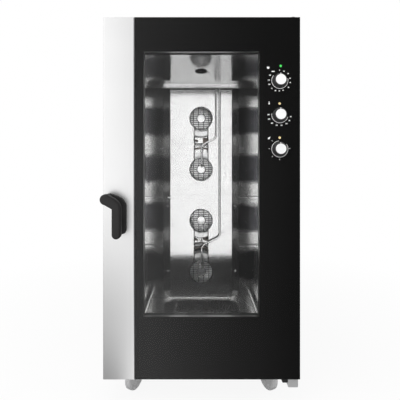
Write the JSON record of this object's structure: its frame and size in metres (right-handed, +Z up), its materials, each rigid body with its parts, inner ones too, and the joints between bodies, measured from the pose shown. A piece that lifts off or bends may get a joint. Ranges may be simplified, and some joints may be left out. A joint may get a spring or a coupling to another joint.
{
  "type": "combi oven",
  "caption": "Floor-standing combi oven on castors, with a full-height glass door, a hooked handle, control knobs in the door and a row of fans behind a baffle.",
  "frame": {"origin": "on the floor, under the middle of the whole oven's box", "axes": "+Z up, +Y from the door towards the back, +X to the right as seen from the front"},
  "size_m": [0.935, 1.013, 1.936],
  "materials": {
    "stainless": "satin",
    "chamber_steel": "bright",
    "dark_glass": "polished",
    "clear_glass": "polished",
    "black_print": "gloss",
    "black_plastic": "satin",
    "knob_plastic": "satin",
    "lamp_plastic": "clear",
    "seal_rubber": "matt",
    "spacer_aluminium": "satin",
    "wire_steel": "polished",
    "element_steel": "heat tinted",
    "zinc": "zinc plated",
    "wheel_rubber": "matt",
    "motor_paint": "satin",
    "wool": "fibrous",
    "brass": "satin",
    "board": "satin",
    "contactor_plastic": "matt"
  },
  "bodies": {
    "cabinet": {"base_frame": "stainless", "left_side_panel": "stainless", "right_side_panel": "stainless", "top_panel": "stainless", "rear_panel": "stainless", "front_frame": "stainless", "oven_chamber": "chamber_steel", "insulation": "wool", "door_gasket": "seal_rubber", "baffle_panels": "chamber_steel", "baffle_supports": "chamber_steel", "baffle_screws": "wire_steel", "fan_guards": "wire_steel", "heating_elements": "element_steel", "fan_motors": "motor_paint", "water_pipe_upper": "chamber_steel", "water_pipe_lower": "chamber_steel", "water_valves": "brass", "water_feed_pipe": "brass", "steam_vent_pipe": "stainless", "damper_motor": "motor_paint", "drain_pipe": "stainless", "drain_strainer": "chamber_steel", "power_contactors": "contactor_plastic", "cable_gland": "black_plastic", "temperature_probe": "chamber_steel", "upper_hinge_bracket": "stainless", "lower_hinge_bracket": "stainless", "cable_sleeve": "black_plastic", "latch_strike": "stainless", "castor_plates": "zinc"},
    "door": {"door_frame": "stainless", "door_outer_glass": "dark_glass", "glass_print": "black_print", "door_stile": "stainless", "window_spacer": "spacer_aluminium", "window_seal": "seal_rubber", "inner_glass": "clear_glass", "inner_glass_frame": "stainless", "control_board": "board", "indicator_lamps": "lamp_plastic", "handle_base": "black_plastic"},
    "latch": {"handle_lever": "black_plastic", "latch_hook": "zinc"},
    "mode_knob": {"mode_knob": "knob_plastic"},
    "temperature_knob": {"temperature_knob": "knob_plastic"},
    "steam_knob": {"steam_knob": "knob_plastic"},
    "damper": {"vent_damper": "stainless"},
    "fan_1": {"fan_1": "chamber_steel"},
    "fan_2": {"fan_2": "chamber_steel"},
    "fan_3": {"fan_3": "chamber_steel"},
    "fan_4": {"fan_4": "chamber_steel"},
    "swivel_front_left": {"castor_fork_front_left": "zinc"},
    "wheel_front_left": {"castor_wheel_front_left": "wheel_rubber"},
    "swivel_front_right": {"castor_fork_front_right": "zinc"},
    "wheel_front_right": {"castor_wheel_front_right": "wheel_rubber"},
    "swivel_rear_left": {"castor_fork_rear_left": "zinc"},
    "wheel_rear_left": {"castor_wheel_rear_left": "wheel_rubber"},
    "swivel_rear_right": {"castor_fork_rear_right": "zinc"},
    "wheel_rear_right": {"castor_wheel_rear_right": "wheel_rubber"}
  },
  "joints": [
    {"name": "door_hinge", "type": "hinge", "parent": "cabinet", "child": "door", "pos_m": [0.436, -0.3885, 1], "axis": [0, 0, 1], "range_deg": [0, 120]},
    {"name": "handle_turn", "type": "hinge", "parent": "door", "child": "latch", "pos_m": [-0.434, -0.4585, 1.02], "axis": [0, -1, 0], "range_deg": [0, 60]},
    {"name": "mode_knob_turn", "type": "hinge", "parent": "door", "child": "mode_knob", "pos_m": [0.3715, -0.4285, 1.5762], "axis": [0, 1, 0], "range_deg": [0, 300]},
    {"name": "temperature_knob_turn", "type": "hinge", "parent": "door", "child": "temperature_knob", "pos_m": [0.3715, -0.4285, 1.4138], "axis": [0, 1, 0], "range_deg": [0, 270]},
    {"name": "steam_knob_turn", "type": "hinge", "parent": "door", "child": "steam_knob", "pos_m": [0.3715, -0.4285, 1.2514], "axis": [0, 1, 0], "range_deg": [0, 300]},
    {"name": "fan_1_spin", "type": "hinge", "parent": "cabinet", "child": "fan_1", "pos_m": [0, 0.1815, 1.4605], "axis": [0, 1, 0], "continuous": true},
    {"name": "fan_2_spin", "type": "hinge", "parent": "cabinet", "child": "fan_2", "pos_m": [0, 0.1815, 1.1395], "axis": [0, 1, 0], "continuous": true},
    {"name": "fan_3_spin", "type": "hinge", "parent": "cabinet", "child": "fan_3", "pos_m": [0, 0.1815, 0.8185], "axis": [0, 1, 0], "continuous": true},
    {"name": "fan_4_spin", "type": "hinge", "parent": "cabinet", "child": "fan_4", "pos_m": [0, 0.1815, 0.4975], "axis": [0, 1, 0], "continuous": true},
    {"name": "damper_turn", "type": "hinge", "parent": "cabinet", "child": "damper", "pos_m": [0, 0.0735, 1.815], "axis": [1, 0, 0], "range_deg": [0, 90]},
    {"name": "swivel_front_left", "type": "hinge", "parent": "cabinet", "child": "swivel_front_left", "pos_m": [-0.365, -0.2735, 0.14], "axis": [0, 0, 1], "continuous": true},
    {"name": "roll_front_left", "type": "hinge", "parent": "swivel_front_left", "child": "wheel_front_left", "pos_m": [-0.35148, -0.2445, 0.0625], "axis": [0.9063, -0.4226, 0], "continuous": true},
    {"name": "swivel_front_right", "type": "hinge", "parent": "cabinet", "child": "swivel_front_right", "pos_m": [0.365, -0.2735, 0.14], "axis": [0, 0, 1], "continuous": true},
    {"name": "roll_front_right", "type": "hinge", "parent": "swivel_front_right", "child": "wheel_front_right", "pos_m": [0.35148, -0.2445, 0.0625], "axis": [0.9063, 0.4226, 0], "continuous": true},
    {"name": "swivel_rear_left", "type": "hinge", "parent": "cabinet", "child": "swivel_rear_left", "pos_m": [-0.365, 0.3515, 0.14], "axis": [0, 0, 1], "continuous": true},
    {"name": "roll_rear_left", "type": "hinge", "parent": "swivel_rear_left", "child": "wheel_rear_left", "pos_m": [-0.35807, 0.38274, 0.0625], "axis": [0.9763, -0.2164, 0], "continuous": true},
    {"name": "swivel_rear_right", "type": "hinge", "parent": "cabinet", "child": "swivel_rear_right", "pos_m": [0.365, 0.3515, 0.14], "axis": [0, 0, 1], "continuous": true},
    {"name": "roll_rear_right", "type": "hinge", "parent": "swivel_rear_right", "child": "wheel_rear_right", "pos_m": [0.35807, 0.38274, 0.0625], "axis": [0.9763, 0.2164, 0], "continuous": true}
  ]
}
